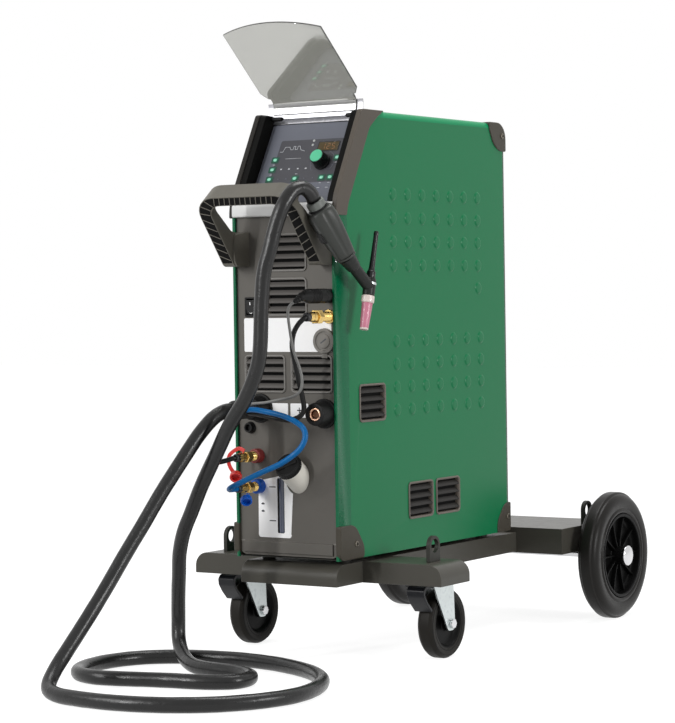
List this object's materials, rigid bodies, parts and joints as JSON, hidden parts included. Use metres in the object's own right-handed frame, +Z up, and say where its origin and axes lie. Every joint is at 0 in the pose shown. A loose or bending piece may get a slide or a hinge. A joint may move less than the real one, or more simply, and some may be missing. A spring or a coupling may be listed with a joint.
{
  "type": "water-cooled tig welding machine on trolley",
  "caption": "Tall narrow welding power source with sloped control panel and flip-up visor, on a trolley with swivel casters and rear wheels, with torch, hose package and coolant hoses.",
  "frame": {"origin": "on the floor under the middle of the machine, measured without the hoses", "axes": "+Z up; the front with the control panel faces -Y; +X to the viewer's right"},
  "size_m": [0.5516, 1.479, 1.1311],
  "materials": {
    "green_paint": "gloss powder coat",
    "trim_paint": "satin powder coat",
    "trolley_paint": "fine-grained powder coat",
    "panel_paint": "satin powder coat",
    "sheet_steel": "galvanised",
    "axle_steel": "polished",
    "zinc": "zinc plated",
    "tyre_rubber": "matt",
    "grip_rubber": "matt",
    "sleeve_leather": "satin",
    "black_plastic": "matt",
    "foil": "fine matt foil",
    "handle_plastic": "fine grain",
    "smoked": "clear gloss",
    "mint": "gloss",
    "white_label": "matt film",
    "tank_plastic": "translucent",
    "brass_part": "bright",
    "heat_sink": "extruded",
    "motor_iron": "painted",
    "winding": "lacquered copper",
    "circuit": "satin",
    "blue_rubber": "satin",
    "black_rubber": "satin",
    "grey_pvc": "satin",
    "pink_ceramic": "glazed"
  },
  "bodies": {
    "machine": {"front_deck": "trolley_paint", "rear_platform": "trolley_paint", "lifting_eyes": "trolley_paint", "rear_axle": "axle_steel", "caster_plates": "zinc", "inner_chassis": "sheet_steel", "casing_cover": "green_paint", "front_panel": "panel_paint", "rear_panel": "panel_paint", "control_hood": "black_plastic", "hood_trims": "trim_paint", "control_foil": "foil", "corner_brackets": "trim_paint", "casing_screws": "axle_steel", "louvre_grilles": "black_plastic", "push_handle": "handle_plastic", "label_plates": "white_label", "panel_sockets": "black_plastic", "brass_couplings": "brass_part", "coolant_tank": "tank_plastic", "radiator": "heat_sink", "coolant_pump": "motor_iron", "power_inverter": "heat_sink", "transformer": "winding", "control_board": "circuit", "fan_motor": "motor_iron", "torch_handle": "grip_rubber", "torch_neck": "black_rubber", "hose_package": "sleeve_leather", "blue_hose": "blue_rubber", "red_hose": "black_rubber", "gas_hose": "black_rubber", "control_cable": "grey_pvc", "torch_plug": "black_rubber", "control_plug": "black_plastic"},
    "visor": {"visor": "smoked"},
    "knob": {"current_knob": "black_plastic"},
    "rocker": {"mains_rocker": "black_plastic"},
    "filler": {"filler_cap": "black_plastic"},
    "fan": {"cooling_fan": "black_plastic"},
    "key_1": {"key_1": "mint"},
    "key_2": {"key_2": "mint"},
    "key_3": {"key_3": "mint"},
    "key_4": {"key_4": "mint"},
    "key_5": {"key_5": "mint"},
    "key_6": {"key_6": "mint"},
    "key_7": {"key_7": "mint"},
    "fork_left": {"caster_fork_left": "zinc"},
    "caster_left": {"caster_wheel_left": "tyre_rubber"},
    "pedal_left": {"brake_pedal_left": "black_plastic"},
    "wheel_left": {"rear_tyre_left": "tyre_rubber", "rear_rim_left": "black_plastic"},
    "fork_right": {"caster_fork_right": "zinc"},
    "caster_right": {"caster_wheel_right": "tyre_rubber"},
    "pedal_right": {"brake_pedal_right": "black_plastic"},
    "wheel_right": {"rear_tyre_right": "tyre_rubber", "rear_rim_right": "black_plastic"},
    "trigger": {"torch_trigger": "black_plastic"},
    "back_cap": {"torch_back_cap": "black_plastic"},
    "nozzle": {"torch_nozzle": "pink_ceramic"}
  },
  "joints": [
    {"name": "visor_hinge", "type": "hinge", "parent": "machine", "child": "visor", "pos_m": [0, -0.2947, 0.972], "axis": [1, 0, 0], "range_deg": [0, 102]},
    {"name": "knob_turn", "type": "hinge", "parent": "machine", "child": "knob", "pos_m": [0.041, -0.33196, 0.88773], "axis": [0, -0.8686, 0.4955], "continuous": true},
    {"name": "rocker_tilt", "type": "hinge", "parent": "machine", "child": "rocker", "pos_m": [-0.074, -0.391, 0.632], "axis": [1, 0, 0], "range_deg": [-20, 0]},
    {"name": "filler_turn", "type": "hinge", "parent": "machine", "child": "filler", "pos_m": [0.0213, -0.396, 0.331], "axis": [0, -0.8192, 0.5736], "range_deg": [0, 360]},
    {"name": "fan_spin", "type": "hinge", "parent": "machine", "child": "fan", "pos_m": [0, 0.173, 0.64], "axis": [0, 1, 0], "continuous": true},
    {"name": "key_1_press", "type": "slide", "parent": "machine", "child": "key_1", "axis": [0, 0.8686, -0.4955], "range_m": [0, 0.0008], "stiffness_N_per_m": 300},
    {"name": "key_2_press", "type": "slide", "parent": "machine", "child": "key_2", "axis": [0, 0.8686, -0.4955], "range_m": [0, 0.0008], "stiffness_N_per_m": 300},
    {"name": "key_3_press", "type": "slide", "parent": "machine", "child": "key_3", "axis": [0, 0.8686, -0.4955], "range_m": [0, 0.0008], "stiffness_N_per_m": 300},
    {"name": "key_4_press", "type": "slide", "parent": "machine", "child": "key_4", "axis": [0, 0.8686, -0.4955], "range_m": [0, 0.0008], "stiffness_N_per_m": 300},
    {"name": "key_5_press", "type": "slide", "parent": "machine", "child": "key_5", "axis": [0, 0.8686, -0.4955], "range_m": [0, 0.0008], "stiffness_N_per_m": 300},
    {"name": "key_6_press", "type": "slide", "parent": "machine", "child": "key_6", "axis": [0, 0.8686, -0.4955], "range_m": [0, 0.0008], "stiffness_N_per_m": 300},
    {"name": "key_7_press", "type": "slide", "parent": "machine", "child": "key_7", "axis": [0, 0.8686, -0.4955], "range_m": [0, 0.0008], "stiffness_N_per_m": 300},
    {"name": "swivel_left", "type": "hinge", "parent": "machine", "child": "fork_left", "pos_m": [-0.204, -0.252, 0.161], "axis": [0, 0, 1], "continuous": true},
    {"name": "caster_roll_left", "type": "hinge", "parent": "fork_left", "child": "caster_left", "pos_m": [-0.204, -0.214, 0.0625], "axis": [1, 0, 0], "continuous": true},
    {"name": "brake_left", "type": "hinge", "parent": "fork_left", "child": "pedal_left", "pos_m": [-0.204, -0.261, 0.136], "axis": [1, 0, 0], "range_deg": [0, 6]},
    {"name": "wheel_roll_left", "type": "hinge", "parent": "machine", "child": "wheel_left", "pos_m": [-0.239, 0.403, 0.125], "axis": [1, 0, 0], "continuous": true},
    {"name": "swivel_right", "type": "hinge", "parent": "machine", "child": "fork_right", "pos_m": [0.204, -0.252, 0.161], "axis": [0, 0, 1], "continuous": true},
    {"name": "caster_roll_right", "type": "hinge", "parent": "fork_right", "child": "caster_right", "pos_m": [0.204, -0.214, 0.0625], "axis": [1, 0, 0], "continuous": true},
    {"name": "brake_right", "type": "hinge", "parent": "fork_right", "child": "pedal_right", "pos_m": [0.204, -0.261, 0.136], "axis": [1, 0, 0], "range_deg": [0, 6]},
    {"name": "wheel_roll_right", "type": "hinge", "parent": "machine", "child": "wheel_right", "pos_m": [0.239, 0.403, 0.125], "axis": [1, 0, 0], "continuous": true},
    {"name": "trigger_press", "type": "hinge", "parent": "machine", "child": "trigger", "pos_m": [0.1228, -0.47077, 0.76609], "axis": [0.9417, -0.3363, 0], "range_deg": [0, 4], "stiffness_Nm_per_rad": 0.6},
    {"name": "back_cap_turn", "type": "hinge", "parent": "machine", "child": "back_cap", "pos_m": [0.147, -0.35, 0.664], "axis": [0.02, 0.23, 0.973], "range_deg": [0, 360]},
    {"name": "nozzle_turn", "type": "hinge", "parent": "machine", "child": "nozzle", "pos_m": [0.147, -0.35, 0.664], "axis": [-0.02, -0.23, -0.973], "range_deg": [0, 360]}
  ]
}
